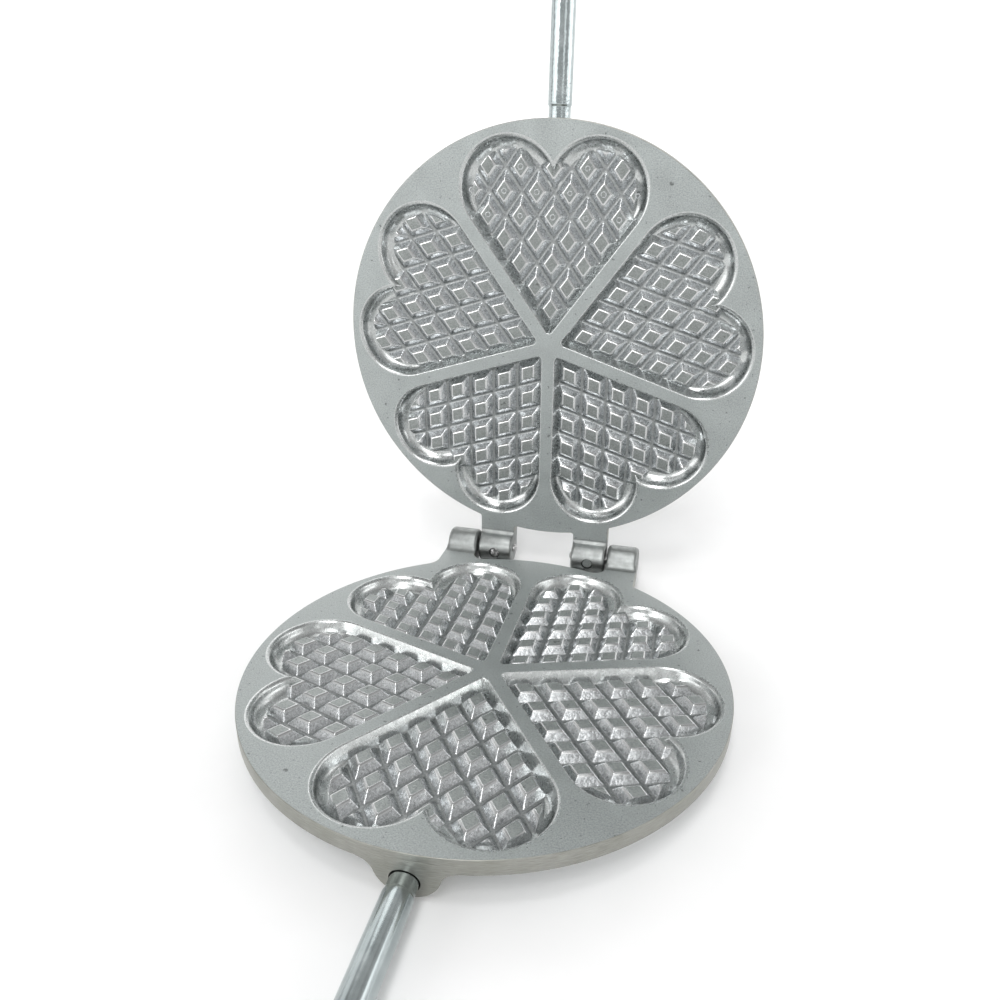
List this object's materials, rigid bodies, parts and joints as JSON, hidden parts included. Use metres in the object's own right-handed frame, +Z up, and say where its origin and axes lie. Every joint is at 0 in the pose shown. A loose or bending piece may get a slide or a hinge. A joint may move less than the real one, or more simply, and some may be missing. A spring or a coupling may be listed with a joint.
{
  "type": "pizzelle iron",
  "caption": "Round cast-aluminium wafer iron: hinged plates with stud-patterned heart pockets and long tube handles, standing open",
  "frame": {"origin": "Bottom centre of the bounding box of the open iron as it stands on a table", "axes": "+X is to the iron's right seen from the lower handle and runs along the hinge axis, +Y points from the lower handle's end to the hinge, +Z is up"},
  "size_m": [0.205, 0.5676, 0.5331],
  "materials": {
    "cast_aluminium": "grey grainy sand cast, brushed rim",
    "zinc_plated_tube": "bright zinc plated tube",
    "steel_pin": "plain steel",
    "black_plug": "black plastic"
  },
  "bodies": {
    "lower_half": {"lower_plate": "cast_aluminium", "lower_handle_tube": "zinc_plated_tube", "lower_handle_pin": "steel_pin", "lower_handle_plug": "black_plug"},
    "upper_half": {"upper_plate": "cast_aluminium", "upper_handle_tube": "zinc_plated_tube", "upper_handle_pin": "steel_pin", "upper_handle_plug": "black_plug", "hinge_pin_left": "steel_pin", "hinge_pin_right": "steel_pin", "hinge_lock_pin_left": "steel_pin", "hinge_lock_pin_right": "steel_pin"}
  },
  "joints": [
    {"name": "plate_hinge", "type": "hinge", "parent": "lower_half", "child": "upper_half", "pos_m": [0, 0.24008, 0.01024], "axis": [1, 0, 0], "range_deg": [0, 87.5]}
  ]
}
